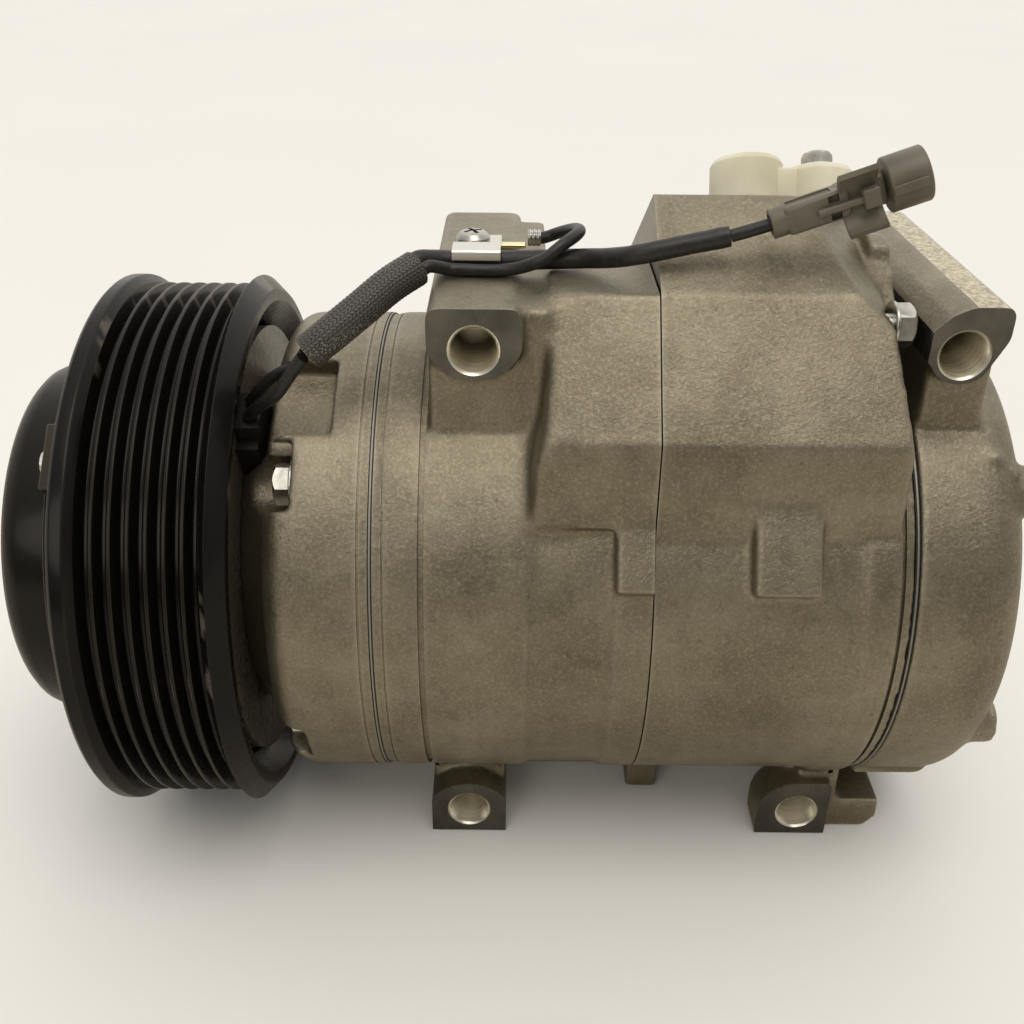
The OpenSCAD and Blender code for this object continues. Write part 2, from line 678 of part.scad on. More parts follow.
module swash_plate() color(steel) difference() {
    union() {
        rod(swash_x - swash_boss, swash_x + swash_boss, 15.6);
        translate([swash_x, 0, 0]) rotate([0, tilt, 0]) rod(-swash_t / 2, swash_t / 2, swash_r);
    }
    rod(0, 200, shaft_r + 0.02);
}
module armature_plate() color(dark_steel)
    across(armature_front, armature_front + armature_t) difference() {
        union() {
            circle(armature_r - 2);
            for (i = [0:2]) rotate(120 * i + 137) translate([0, -7]) square([armature_r + 1, 14]);
        }
        circle(33.2);
    }
module armature_rivets() color(steel)
    for (i = [0:2]) rotate([120 * i + 43, 0, 0])
        translate([armature_front - 1.4, 0, 51]) rotate([0, 90, 0]) cylinder(r = 2.6, h = 1.38);

// A double-headed piston of the given number, with a slot for the swash plate
module piston(i) color([0.66, 0.66, 0.66]) difference() {
    round_shaft(cylinder_0 + (i - 1) * step, pitch_r)
        rod(swash_x - piston_half, swash_x + piston_half, piston_r);
    rod(swash_x - slot_half, swash_x + slot_half, sweep_r);
    round_shaft(cylinder_0 + (i - 1) * step, pitch_r) {
        for (s = [-1, 1]) translate([swash_x + s * (flat_half + shoe_h - shoe_r), 0, 0])
            sphere(shoe_r + 0.05);
        for (s = [-1, 1]) ring(swash_x + s * (piston_half - 5) - 1.1,
            swash_x + s * (piston_half - 5) + 1.1, bore_r + 1, piston_r - 2.2);
    }
}
module piston_1() piston(1);
module piston_2() piston(2);
module piston_3() piston(3);
module piston_4() piston(4);
module piston_5() piston(5);
module piston_rings() color(black)
    for (i = [0:cylinders - 1]) round_shaft(cylinder_0 + i * step, pitch_r) for (s = [-1, 1])
        ring(swash_x + s * (piston_half - 5) - 1, swash_x + s * (piston_half - 5) + 1,
            bore_r - 0.02, piston_r - 2.1);
module shoes() color(steel)
    for (i = [0:cylinders - 1]) round_shaft(cylinder_0 + i * step, pitch_r) for (s = [0, 1])
        translate([swash_x, 0, 0]) mirror([s, 0, 0]) intersection() {
            translate([flat_half + shoe_h - shoe_r, 0, 0]) sphere(shoe_r);
            rod(flat_half, flat_half + shoe_h + 1, shoe_r);
        }

front_housing();
front_cylinder_block();
rear_cylinder_block();
rear_housing();
valve_plates();
suction_reeds();
discharge_reeds();
gaskets();
block_seal_ring();
through_bolts();
shaft_seal();
seal_snap_ring();
radial_bearing_shells();
radial_bearing_rollers();
thrust_races_fixed();
thrust_needle_cages();
thrust_races_turning();
field_coil();
coil_housing();
coil_snap_ring();
coil_terminal_block();
coil_leads();
braided_sleeve();
cable_sheath();
ground_wire();
ring_terminal();
crimp_sleeve();
harness_clip();
clip_screw();
connector_body();
connector_cap();
port_cap();
port_cap_bolt();
muffler_bolt();
relief_valve();
bearing_inner_ring();
bearing_snap_ring();
pulley();
bearing_outer_ring();
bearing_balls();
bearing_cage();
shaft();
swash_plate();
clutch_hub();
hub_rubber();
hub_cover();
hub_nut();
armature_plate();
armature_rivets();
piston_1();
piston_2();
piston_3();
piston_4();
piston_5();
piston_rings();
shoes();
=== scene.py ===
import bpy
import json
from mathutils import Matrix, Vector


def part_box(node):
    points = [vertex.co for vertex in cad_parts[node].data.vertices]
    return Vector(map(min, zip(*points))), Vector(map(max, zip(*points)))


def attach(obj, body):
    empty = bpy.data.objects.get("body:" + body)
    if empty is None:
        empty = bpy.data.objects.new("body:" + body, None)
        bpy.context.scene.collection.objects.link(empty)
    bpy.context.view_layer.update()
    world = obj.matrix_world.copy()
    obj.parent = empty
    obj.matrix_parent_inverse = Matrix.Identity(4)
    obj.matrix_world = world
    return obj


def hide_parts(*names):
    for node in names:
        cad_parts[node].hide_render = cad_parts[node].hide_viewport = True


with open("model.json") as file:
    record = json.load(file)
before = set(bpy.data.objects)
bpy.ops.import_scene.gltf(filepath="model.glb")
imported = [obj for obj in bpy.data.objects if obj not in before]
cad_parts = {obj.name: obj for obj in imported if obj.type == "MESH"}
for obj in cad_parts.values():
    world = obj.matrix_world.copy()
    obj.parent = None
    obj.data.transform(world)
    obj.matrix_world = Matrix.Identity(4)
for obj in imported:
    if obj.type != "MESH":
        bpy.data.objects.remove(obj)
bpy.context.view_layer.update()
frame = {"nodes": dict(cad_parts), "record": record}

import json
import math

import bmesh
import bpy
import numpy as np
from mathutils import Matrix, Vector, noise

MM = 0.001


# ---------------------------------------------------------------- places read from the frame

def lo(node):
    """Lowest corner of a CAD node, in millimetres."""
    return [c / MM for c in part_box(node)[0]]


def hi(node):
    """Highest corner of a CAD node, in millimetres."""
    return [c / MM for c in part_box(node)[1]]


MOUNTS = {m["name"]: m for m in frame["record"]["mounts"]}
BODY_R = hi("front_housing")[1]
FRONT_END = hi("front_housing")[0]
BLOCK_START = lo("front_cylinder_block")[0]
SEAM = hi("front_cylinder_block")[0]
BLOCK_END = hi("rear_cylinder_block")[0]
REAR_START = lo("rear_housing")[0]
FOOT_Z = MOUNTS["front_foot"]["pos_m"][2] / MM


def bore(name):
    """X and Z of a mounting bore, and the Y of its two ends."""
    found = MOUNTS[name + "_bore"]
    x, y, z = (c / MM for c in found["pos_m"])
    half = found["dims"]["length_mm"] / 2
    return x, z, y - half, y + half


UPPER_FRONT, UPPER_REAR, LOWER_FRONT, LOWER_REAR = (
    bore(name) for name in ("upper_front", "upper_rear", "lower_front", "lower_rear"))
BORE_R = 4.5
# The mounting faces stand this far to each side of the shaft
FACE_Y = 35.0
# Height above which the flat on the rear ear lies
EAR_FLAT_Z = 71.6


# ---------------------------------------------------------------- node materials

class Nodes:
    """A short way to wire a material's nodes."""

    def __init__(self, name):
        self.mat = bpy.data.materials.new(name)
        self.mat.use_nodes = True
        self.tree = self.mat.node_tree
        self.bsdf = self.tree.nodes["Principled BSDF"]
        self.place = self.add("ShaderNodeTexCoord").outputs["Object"]

    def add(self, kind, **values):
        made = self.tree.nodes.new(kind)
        for key, value in values.items():
            setattr(made, key, value)
        return made

    def link(self, a, b):
        self.tree.links.new(a, b)

    def noise(self, per_mm, detail=4.0, rough=0.55, stretch=None):
        """Noise with per_mm waves in a millimetre, stretched if asked."""
        tex = self.add("ShaderNodeTexNoise")
        tex.inputs["Scale"].default_value = per_mm / MM
        tex.inputs["Detail"].default_value = detail
        tex.inputs["Roughness"].default_value = rough
        source = self.place
        if stretch:
            mapping = self.add("ShaderNodeMapping")
            mapping.inputs["Scale"].default_value = stretch
            self.link(source, mapping.inputs["Vector"])
            source = mapping.outputs["Vector"]
        self.link(source, tex.inputs["Vector"])
        return tex.outputs["Fac"]

    def ramp(self, source, stops):
        """Colours along a 0 to 1 signal; each stop is (place, colour)."""
        made = self.add("ShaderNodeValToRGB")
        ramp = made.color_ramp
        while len(ramp.elements) < len(stops):
            ramp.elements.new(0.5)
        for element, (at, colour) in zip(ramp.elements, stops):
            element.position = at
            element.color = (*colour, 1)
        self.link(source, made.inputs["Fac"])
        return made.outputs["Color"]

    def grey(self, source, low, high, at=(0.0, 1.0)):
        """Maps a 0 to 1 signal onto low to high."""
        made = self.add("ShaderNodeMapRange")
        for key, value in zip(("From Min", "From Max", "To Min", "To Max"), (*at, low, high)):
            made.inputs[key].default_value = value
        self.link(source, made.inputs["Value"])
        return made.outputs["Result"]

    def mix(self, factor, a, b):
        """Blends two colours by a factor; each of the three is a value or a signal."""
        made = self.add("ShaderNodeMix", data_type="RGBA")
        for socket, value in ((0, factor), (6, a), (7, b)):
            if isinstance(value, (int, float)):
                made.inputs[socket].default_value = value
            elif isinstance(value, tuple):
                made.inputs[socket].default_value = (*value, 1)
            else:
                self.link(value, made.inputs[socket])
        return made.outputs[2]

    def edges(self, low, high):
        """White on convex edges, from the surface's pointiness; the materials use it to paint
        highlights on those edges.
        """
        point = self.add("ShaderNodeNewGeometry").outputs["Pointiness"]
        return self.grey(point, 0, 1, (low, high))

    def set(self, key, value):
        """Gives an input of the surface a number or a signal."""
        if isinstance(value, (int, float)):
            self.bsdf.inputs[key].default_value = value
        else:
            self.link(value, self.bsdf.inputs[key])

    def bump(self, *layers):
        """Stacks bumps; each layer is (signal, height in millimetres)."""
        last = None
        for signal, height in layers:
            made = self.add("ShaderNodeBump")
            made.inputs["Distance"].default_value = height * MM
            made.inputs["Strength"].default_value = 1.0
            self.link(signal, made.inputs["Height"])
            if last is not None:
                self.link(last, made.inputs["Normal"])
            last = made.outputs["Normal"]
        self.link(last, self.bsdf.inputs["Normal"])


# The middle of a noise, stretched to the whole way from one colour to the other
MIDDLE = (0.35, 0.65)


def cast_aluminium():
    """A sand-blasted die casting, with stains and pores, pale specks that are partly grain and
    partly painted glints, and painted highlights on its convex edges.
    """
    n = Nodes("cast_aluminium")
    blotch = n.noise(0.05, 6, 0.62)
    stain = n.noise(0.16, 5, 0.7)
    grain = n.noise(1.5, 3, 0.7)
    pores = n.noise(0.55, 6, 0.75)
    base = n.ramp(blotch, [(0.3, (0.170, 0.147, 0.104)), (0.5, (0.238, 0.209, 0.152)),
                           (0.7, (0.300, 0.268, 0.200))])
    base = n.mix(n.grey(stain, 0.45, 0, (0.30, 0.47)), base, (0.120, 0.104, 0.076))
    # Pale specks from the grain noise: partly the casting's grain, partly painted glints.
    base = n.mix(n.grey(grain, 0, 0.4, (0.48, 0.74)), base, (0.52, 0.48, 0.38))
    base = n.mix(n.grey(pores, 0.6, 0, (0.30, 0.42)), base, (0.095, 0.084, 0.064))
    # Painted highlight: convex edges lightened towards a pale colour, from pointiness.
    base = n.mix(n.grey(n.edges(0.504, 0.56), 0, 0.4), base, (0.50, 0.46, 0.37))
    n.set("Base Color", base)
    n.set("Metallic", 0.86)
    n.set("Roughness", n.grey(stain, 0.30, 0.52))
    n.bump((pores, 0.18), (grain, 0.10))
    return n.mat


def machined_aluminium():
    """A milled face with upright cutter lines, its colour darkened to paint the shade on faces
    turned from the light.
    """
    n = Nodes("machined_aluminium")
    lines = n.noise(3.2, 2, 0.5, (1, 1, 0.03))
    smear = n.grey(n.noise(0.12, 3), 0, 1, MIDDLE)
    # Painted shade: the base colours are dark so the mounting faces look shaded.
    n.set("Base Color", n.mix(smear, (0.085, 0.081, 0.073), (0.135, 0.128, 0.114)))
    n.set("Metallic", 0.9)
    n.set("Roughness", n.grey(lines, 0.20, 0.36))
    n.bump((lines, 0.012))
    return n.mat


def as_cast_flat():
    """The pale, heavily textured top of the rear ear."""
    n = Nodes("as_cast_flat")
    speck = n.noise(1.1, 5, 0.75)
    base = n.mix(n.grey(speck, 0, 1, (0.38, 0.62)), (0.36, 0.315, 0.215), (0.82, 0.76, 0.61))
    n.set("Base Color", base)
    n.set("Metallic", 0.85)
    n.set("Roughness", n.grey(speck, 0.55, 0.35))
    n.bump((speck, 0.3))
    return n.mat


def turned_bore():
    """The bright reamed wall of a mounting bore, with rings left by the tool."""
    n = Nodes("turned_bore")
    rings = n.noise(2.4, 2, 0.5, (0.02, 1, 0.02))
    tone = n.grey(rings, 0, 1, MIDDLE)
    n.set("Base Color", n.mix(tone, (0.58, 0.55, 0.47), (0.86, 0.83, 0.74)))
    n.set("Metallic", 1.0)
    n.set("Roughness", n.grey(rings, 0.22, 0.42))
    n.bump((rings, 0.03))
    return n.mat


def gloss_black():
    """Black paint with orange peel and dust, and a painted highlight in paler brown on its convex
    edges.
    """
    n = Nodes("gloss_black")
    peel = n.noise(0.35, 3)
    dust = n.grey(n.noise(1.8, 4, 0.7), 0, 0.4, (0.55, 0.8))
    # Painted highlight: convex edges turn a paler brown, from pointiness.
    base = n.mix(n.edges(0.51, 0.60), (0.0045, 0.0042, 0.004), (0.10, 0.088, 0.068))
    n.set("Base Color", n.mix(dust, base, (0.011, 0.010, 0.0085)))
    n.set("IOR", 1.36)
    n.set("Roughness", n.grey(peel, 0.20, 0.33))
    n.set("Specular IOR Level", 0.25)
    n.set("Coat Weight", 0.1)
    n.set("Coat Roughness", 0.12)
    n.bump((peel, 0.03))
    return n.mat


def black_plastic(name, rough, waves=1.2):
    """Black rubber or plastic with a fine moulded grain."""
    n = Nodes(name)
    texture = n.noise(waves, 3)
    tone = n.grey(texture, 0, 1, (0.4, 0.7))
    n.set("Base Color", n.mix(tone, (0.009, 0.009, 0.009), (0.022, 0.021, 0.02)))
    n.set("Roughness", n.grey(texture, rough - 0.08, rough + 0.1))
    n.bump((texture, 0.04))
    return n.mat


def metal(name, dark, light, rough, metallic=1.0):
    """Bare or plated metal, brushed along X, with painted highlights on its convex edges."""
    n = Nodes(name)
    tone = n.noise(0.5, 4)
    brush = n.noise(4.0, 2, 0.5, (0.08, 1, 1))
    base = n.mix(n.grey(tone, 0, 1, MIDDLE), dark, light)
    # Painted highlight: convex edges lighten to a brighter shine colour.
    shine = tuple(min(1, c * 1.35) for c in light)
    n.set("Base Color", n.mix(n.edges(0.51, 0.58), base, shine))
    n.set("Metallic", metallic)
    n.set("Roughness", n.grey(brush, rough - 0.07, rough + 0.1))
    n.bump((brush, 0.012), (tone, 0.03))
    return n.mat


def plastic(name, dark, light, rough, glow):
    """Moulded plastic; glow is how far light spreads in it."""
    n = Nodes(name)
    cloud = n.noise(0.09, 3)
    texture = n.noise(2.2, 3)
    n.set("Base Color", n.mix(n.grey(cloud, 0, 1, MIDDLE), dark, light))
    n.set("Roughness", n.grey(texture, rough - 0.05, rough + 0.1))
    n.set("Subsurface Weight", glow)
    n.set("Subsurface Scale", 1.0)
    n.bsdf.inputs["Subsurface Radius"].default_value = (0.004, 0.0035, 0.0025)
    n.bump((texture, 0.02))
    return n.mat


def braid_yarn():
    """Black yarn, with a painted highlight on the tops of its strands."""
    n = Nodes("braid_yarn")
    fibre = n.noise(5.0, 3)
    # Painted highlight: the raised tops of the strands, found from pointiness, turn pale.
    base = n.mix(n.edges(0.50, 0.56), (0.013, 0.0125, 0.0115), (0.26, 0.245, 0.21))
    n.set("Base Color", n.mix(n.grey(fibre, 0, 0.4, (0.4, 0.7)), base, (0.07, 0.065, 0.057)))
    n.set("Roughness", n.grey(fibre, 0.28, 0.5))
    n.bump((fibre, 0.03))
    return n.mat


CAST = cast_aluminium()
MACHINED = machined_aluminium()
BORE = turned_bore()
FLAT = as_cast_flat()
GLOSS = gloss_black()
JACKET = black_plastic("cable_jacket", 0.42)
RUBBER = black_plastic("moulded_rubber", 0.6, 0.8)
SHIM = metal("stack_shim", (0.10, 0.095, 0.085), (0.22, 0.21, 0.185), 0.5, 0.8)
ZINC = metal("zinc_plate", (0.36, 0.355, 0.335), (0.54, 0.53, 0.50), 0.30)
HARD = metal("ground_steel", (0.30, 0.30, 0.29), (0.46, 0.46, 0.44), 0.34)
PISTON = metal("piston_aluminium", (0.55, 0.55, 0.54), (0.68, 0.68, 0.66), 0.3)
BRASS = metal("tinned_brass", (0.55, 0.42, 0.20), (0.78, 0.65, 0.40), 0.3)
COPPER = metal("enamelled_copper", (0.20, 0.07, 0.025), (0.40, 0.16, 0.06), 0.35)
GREY = plastic("grey_moulding", (0.112, 0.099, 0.074), (0.165, 0.148, 0.114), 0.38, 0.02)
NYLON = plastic("natural_nylon", (0.72, 0.68, 0.52), (0.82, 0.79, 0.65), 0.36, 0.35)
RING_PLASTIC = black_plastic("seal_plastic", 0.5)
BRAID = braid_yarn()

FINISH = {
    "cast_aluminium": CAST, "zinc_steel": ZINC, "hard_steel": HARD, "black_steel": GLOSS,
    "piston_aluminium": PISTON, "black_rubber": RUBBER, "ptfe": RING_PLASTIC,
    "black_plastic": JACKET, "braid": BRAID, "grey_plastic": GREY, "nylon": NYLON,
    "brass": BRASS, "copper": COPPER,
}
SLOT_OF = {s["node"]: s["material_slot"] for s in frame["record"]["subparts"]}
for node_name, node_object in frame["nodes"].items():
    finish = SHIM if node_name == "suction_reeds" else FINISH[SLOT_OF[node_name]]
    node_object.data.materials.clear()
    node_object.data.materials.append(finish)


# ---------------------------------------------------------------- mesh helpers
# Points are given in millimetres and kept in metres. MERGE is in metres.

MERGE = 1e-7


def linked(name, data):
    """A new object in the scene."""
    obj = bpy.data.objects.new(name, data)
    bpy.context.scene.collection.objects.link(obj)
    return obj


def new_object(name, verts, faces, mat, smooth=None):
    """An object from points and faces, shaded smooth below an angle if one is given."""
    mesh = bpy.data.meshes.new(name)
    mesh.from_pydata([tuple(c * MM for c in v) for v in verts], [], faces)
    mesh.validate()
    mesh.update()
    obj = linked(name, mesh)
    mesh.materials.append(mat)
    if smooth is not None:
        shade(obj, smooth)
    return obj


def edit(mesh, work):
    """Runs work on a mesh's editable form."""
    bm = bmesh.new()
    bm.from_mesh(mesh)
    work(bm)
    bm.to_mesh(mesh)
    bm.free()


def shade(obj, angle=35):
    """Smooth shading that keeps edges sharper than the angle."""
    mesh = obj.data
    mesh.polygons.foreach_set("use_smooth", [True] * len(mesh.polygons))

    def mark(bm):
        for edge in bm.edges:
            flat = edge.calc_face_angle(0) < math.radians(angle)
            edge.smooth = len(edge.link_faces) != 2 or flat

    edit(mesh, mark)
    mesh.update()


def put(obj, body, *nodes):
    """Rides obj on a body and lets it stand for the CAD nodes named."""
    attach(obj, body)
    if nodes:
        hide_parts(*nodes)
    return obj


def apply_all(obj):
    """Makes the object's modifiers part of its mesh."""
    dg = bpy.context.evaluated_depsgraph_get()
    mesh = bpy.data.meshes.new_from_object(obj.evaluated_get(dg), depsgraph=dg)
    old = obj.data
    obj.modifiers.clear()
    obj.data = mesh
    bpy.data.meshes.remove(old)


def boolean(obj, operation, others):
    """Adds one exact boolean for each of the other objects."""
    for other in others:
        mod = obj.modifiers.new("boolean", "BOOLEAN")
        mod.operation, mod.solver, mod.object = operation, "EXACT", other


def discard(objects):
    for obj in objects:
        bpy.data.objects.remove(obj)


def face_out(bm):
    bmesh.ops.recalc_face_normals(bm, faces=bm.faces)


def weld(bm):
    bmesh.ops.remove_doubles(bm, verts=bm.verts, dist=MERGE)


def revolve(name, profile, mat, segs=160, turn=0.0, smooth=35):
    """A closed outline of (station along X, radius), turned about the shaft."""
    verts, faces, count = [], [], len(profile)
    for s in range(segs):
        a = 2 * math.pi * s / segs + turn
        verts += [(x, r * math.cos(a), r * math.sin(a)) for x, r in profile]
    for s in range(segs):
        t = (s + 1) % segs
        for k in range(count):
            m = (k + 1) % count
            on_axis = profile[k][1] < 1e-6 and profile[m][1] < 1e-6
            if not on_axis:
                faces.append((s * count + k, s * count + m, t * count + m, t * count + k))
    obj = new_object(name, verts, faces, mat)
    edit(obj.data, weld)
    edit(obj.data, face_out)
    shade(obj, smooth)
    return obj


def rounded(points, radii, steps=5):
    """A closed outline with its corners rounded; radii is one number or one per corner."""
    out, count = [], len(points)
    for i in range(count):
        p, a, b = Vector(points[i]), Vector(points[i - 1]), Vector(points[(i + 1) % count])
        r = radii[i] if isinstance(radii, (list, tuple)) else radii
        da, db = (a - p).normalized(), (b - p).normalized()
        half = math.acos(max(-1, min(1, da.dot(db)))) / 2
        nearly_straight = half > math.pi / 2 - 0.02
        if r <= 0 or nearly_straight:
            out.append(tuple(p))
            continue
        cut = min(r / math.tan(half), (a - p).length * 0.49, (b - p).length * 0.49)
        r = cut * math.tan(half)
        centre = p + (da + db).normalized() * (r / math.sin(half))
        va, vb = p + da * cut - centre, p + db * cut - centre
        for s in range(steps + 1):
            out.append(tuple(centre + va.lerp(vb, s / steps).normalized() * r))
    return out


def tube(name, path, radius, mat, rings, segs=20, shape=None):
    """A round cable along a smooth path; shape(t, angle) may add to the radius."""
    verts, faces = [], []
    for i, (p, u, v) in enumerate(along(smooth_path(path, rings))):
        t = i / (rings - 1)
        for s in range(segs):
            a = 2 * math.pi * s / segs
            r = radius(t) if callable(radius) else radius
            if shape:
                r += shape(t, a)
            verts.append(p + u * (r * math.cos(a)) + v * (r * math.sin(a)))
    for i in range(rings - 1):
        for s in range(segs):
            t = (s + 1) % segs
            faces.append((i * segs + s, i * segs + t, (i + 1) * segs + t, (i + 1) * segs + s))
    faces.append(tuple(range(segs - 1, -1, -1)))
    faces.append(tuple((rings - 1) * segs + s for s in range(segs)))
    return new_object(name, verts, faces, mat, 50)


def smooth_path(points, count):
    """Catmull-Rom points through the given ones, evenly spaced."""
    per_span = 24
    pts = [Vector(p) for p in points]
    pts = [pts[0] * 2 - pts[1]] + pts + [pts[-1] * 2 - pts[-2]]
    dense = []
    for i in range(1, len(pts) - 2):
        p0, p1, p2, p3 = pts[i - 1:i + 3]
        for s in range(per_span):
            t = s / per_span
            dense.append(0.5 * (2 * p1 + (p2 - p0) * t + (2 * p0 - 5 * p1 + 4 * p2 - p3) * t * t
                                + (3 * p1 - p0 - 3 * p2 + p3) * t ** 3))
    dense.append(pts[-2])
    run = [0.0]
    for a, b in zip(dense, dense[1:]):
        run.append(run[-1] + (b - a).length)
    out, k = [], 0
    for i in range(count):
        want = run[-1] * i / (count - 1)
        while k < len(run) - 2 and run[k + 1] < want:
            k += 1
        part = (want - run[k]) / max(run[k + 1] - run[k], 1e-9)
        out.append(dense[k].lerp(dense[k + 1], min(max(part, 0), 1)))
    return out


def along(spine):
    """(point, side, up) at each point of a path, without twist."""
    out, side = [], None
    for i, p in enumerate(spine):
        ahead = (spine[min(i + 1, len(spine) - 1)] - spine[max(i - 1, 0)]).normalized()
        if side is None:
            side = ahead.orthogonal().normalized()
        side = (side - ahead * side.dot(ahead)).normalized()
        out.append((p, side, ahead.cross(side)))
    return out


def join(name, objects):
    """One object from several, keeping their materials."""
    bpy.ops.object.select_all(action="DESELECT")
    for o in objects:
        o.select_set(True)
    bpy.context.view_layer.objects.active = objects[0]
    bpy.ops.object.join()
    objects[0].name = name
    objects[0].data.name = name
    return objects[0]


def cylinder(name, start, end, r0, mat, r1=None, segs=64):
    """A round bar from start to end, or a cone if it has a second radius."""
    a, b = Vector(start), Vector(end)
    ahead = (b - a).normalized()
    side = ahead.orthogonal().normalized()
    up = ahead.cross(side)
    verts = []
    for p, r in ((a, r0), (b, r0 if r1 is None else r1)):
        for s in range(segs):
            angle = 2 * math.pi * s / segs
            verts.append(p + side * (r * math.cos(angle)) + up * (r * math.sin(angle)))
    faces = [(s, (s + 1) % segs, segs + (s + 1) % segs, segs + s) for s in range(segs)]
    faces += [tuple(range(segs - 1, -1, -1)), tuple(range(segs, 2 * segs))]
    return new_object(name, verts, faces, mat, 32)


def slab(name, low, high, mat, bevel):
    """A block, with its edges rounded if bevel is over 0."""
    mid = [(a + b) / 2 for a, b in zip(low, high)]
    half = [(b - a) / 2 for a, b in zip(low, high)]
    bm = bmesh.new()
    bmesh.ops.create_cube(bm, size=2)
    bmesh.ops.scale(bm, vec=half, verts=bm.verts)
    if bevel:
        bmesh.ops.bevel(bm, geom=bm.edges[:], offset=bevel, segments=3, profile=0.5,
                        affect="EDGES")
    bmesh.ops.translate(bm, vec=mid, verts=bm.verts)
    bmesh.ops.scale(bm, vec=(MM,) * 3, verts=bm.verts)
    mesh = bpy.data.meshes.new(name)
    bm.to_mesh(mesh)
    bm.free()
    obj = linked(name, mesh)
    mesh.materials.append(mat)
    shade(obj, 40)
    return obj


# ---------------------------------------------------------------- castings

# Metal left on a face for the mill, and how near to a face a point counts as on it
STOCK, ON_FACE = 2.2, 0.02
VOXEL = 0.7
# Longer than any casting
BEYOND = 120
# A mill cuts this box round a mounting bore, from its X and Z
MILLED = ((-12.5, -14), (13.5, 12.5))


def smoothed(obj, rounds, group=""):
    relax = obj.modifiers.new("fillets", "SMOOTH")
    relax.factor, relax.iterations, relax.vertex_group = 0.5, rounds, group
    apply_all(obj)


def with_stock(node, planes):
    """The CAD solid as an object, with stock on the faces that a mill will cut."""
    bm = bmesh.new()
    bm.from_mesh(frame["nodes"][node].data)
    weld(bm)
    for axis, at, sign, _ in planes:
        for v in bm.verts:
            if abs(v.co[axis] / MM - at) < ON_FACE:
                v.co[axis] += sign * STOCK * MM
    mesh = bpy.data.meshes.new(node + "_cast")
    bm.to_mesh(mesh)
    bm.free()
    return linked(node + "_cast", mesh)


def cutters_of(planes, plugs, turned):
    """The space that mills, lathe tools and drills take from a casting."""
    made = []
    (x0, z0), (x1, z1) = MILLED
    for axis, at, sign, inset in planes:
        at -= sign * inset
        spans = [([-BEYOND] * 3, [2 * BEYOND] * 3)]
        if axis == 1:
            spans = [([x + x0, 0, z + z0], [x + x1, 0, z + z1]) for x, z, _, _ in plugs]
        for low, high in spans:
            low[axis], high[axis] = (at, at + 12) if sign > 0 else (at - 12, at)
            made.append(slab("cut", low, high, MACHINED, 0))
    for start, end, radius in turned:
        made.append(revolve("cut", [(start, radius), (end, radius), (end + 0.2, radius + 3),
                                    (start - 0.2, radius + 3)], MACHINED, 200))
    for x, z, near, far in plugs:
        made.append(cylinder("cut", (x, near - 4, z), (x, far + 4, z), BORE_R, MACHINED))
        for end, side in ((near, -1), (far, 1)):
            made.append(cylinder("cut", (x, end + side * 0.6, z), (x, end - side * 0.7, z),
                                 BORE_R + 1.3, MACHINED, BORE_R))
    return made


def casting(node, planes, plugs, turned, soft):
    """The CAD casting with cast fillets, then its machined faces and mounting bores cut crisp.

    planes holds (axis, place, sign, inset): the flat faces a mill has cut, solid on the side
    away from sign; an inset leaves the face a little short, which shows as a dark joint line.
    The faces across Y are cut only round the mounting bores.
    plugs holds the mounting bores, filled for the casting and drilled after it.
    turned holds (start, end, radius): the grooves a lathe has cut round the body.
    soft holds (low, high): boxes where the pattern had generous radii.
    """
    obj = with_stock(node, planes)
    fills = []
    for x, z, near, far in plugs:
        stop = far + (STOCK if far > FACE_Y - 1 else -1)
        start = (x, near - STOCK, z)
        fills.append(cylinder("plug", start, (x, stop, z), BORE_R + 0.4, CAST, segs=48))
    if fills:
        obj = join(node + "_cast", [obj] + fills)
    remesh = obj.modifiers.new("skin", "REMESH")
    remesh.mode, remesh.voxel_size = "VOXEL", VOXEL * MM
    apply_all(obj)
    smoothed(obj, 9)
    for low, high in soft:
        inside = [v.index for v in obj.data.vertices
                  if all(a < c / MM < b for a, c, b in zip(low, v.co, high))]
        obj.vertex_groups.new(name="soft").add(inside, 1.0, "REPLACE")
        smoothed(obj, 45, "soft")
        obj.vertex_groups.clear()
    cutters = cutters_of(planes, plugs, turned)
    boolean(obj, "DIFFERENCE", cutters)
    apply_all(obj)
    discard(cutters)
    edit(obj.data, lambda bm: bmesh.ops.dissolve_degenerate(bm, edges=bm.edges, dist=0.03 * MM))
    obj.data.materials.clear()
    for mat in (CAST, MACHINED, BORE, FLAT):
        obj.data.materials.append(mat)
    paint_machined(obj, planes, plugs)
    return obj


def paint_machined(obj, planes, plugs):
    """Gives the milled faces, the drilled walls and the rear ear's flat their finishes."""
    mesh = obj.data
    count = len(mesh.polygons)
    centre, normal = np.zeros(count * 3), np.zeros(count * 3)
    mesh.polygons.foreach_get("center", centre)
    mesh.polygons.foreach_get("normal", normal)
    centre, normal = centre.reshape(-1, 3) / MM, normal.reshape(-1, 3)
    index = np.zeros(count, int)
    for axis, at, sign, _ in planes:
        index[(abs(centre[:, axis] - at) < ON_FACE) & (normal[:, axis] * sign > 0.99)] = 1
    for x, z, _, _ in plugs:
        far = np.hypot(centre[:, 0] - x, centre[:, 2] - z)
        index[(far < BORE_R + 1.0) & (abs(normal[:, 1]) < 0.95)] = 2
    behind = centre[:, 0] > UPPER_REAR[0] + 0.6
    index[behind & (centre[:, 2] > EAR_FLAT_Z) & (normal[:, 2] > 0.9)] = 3
    shade(obj, 50)
    mesh.polygons.foreach_set("material_index", index)
    mesh.polygons.foreach_set("use_smooth", index != 1)
    mesh.update()


